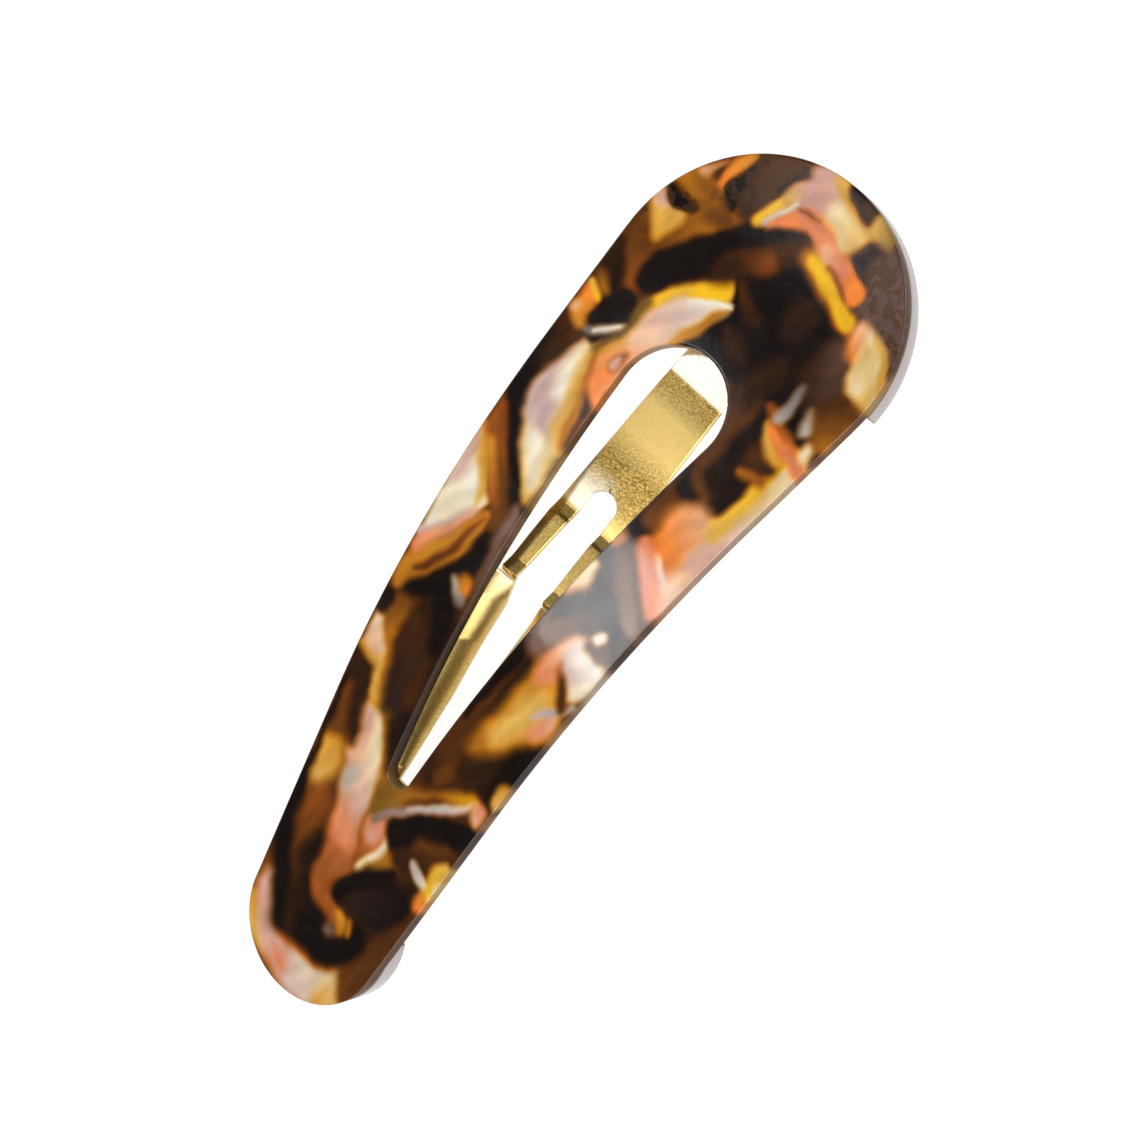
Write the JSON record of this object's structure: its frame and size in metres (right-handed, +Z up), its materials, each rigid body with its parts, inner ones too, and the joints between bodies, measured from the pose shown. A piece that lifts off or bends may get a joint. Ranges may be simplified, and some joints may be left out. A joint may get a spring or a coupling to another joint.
{
  "type": "snap hair clip",
  "caption": "Drop-shaped snap hair clip: an arched tortoiseshell-pattern acetate cover over a gilt sheet-metal frame with a forked tongue that snaps open.",
  "frame": {"origin": "on the surface that the clip stands on, under the middle of its box", "axes": "+X along the clip from the narrow tail to the round head, +Y across it, +Z up through the outside of the arch"},
  "size_m": [0.0822, 0.026, 0.0112],
  "materials": {
    "cover_acetate": "polished",
    "pad_acetate": "polished",
    "gilt_metal": "satin"
  },
  "bodies": {
    "clip": {"cover": "cover_acetate", "head_pad": "pad_acetate", "tail_pad": "pad_acetate", "clip_frame": "gilt_metal"},
    "tongue": {"tongue": "gilt_metal"}
  },
  "joints": [
    {"name": "tongue_snap", "type": "hinge", "parent": "clip", "child": "tongue", "pos_m": [-0.00033, 0, 0.00885], "axis": [0, 1, 0], "range_deg": [0, 18]}
  ]
}
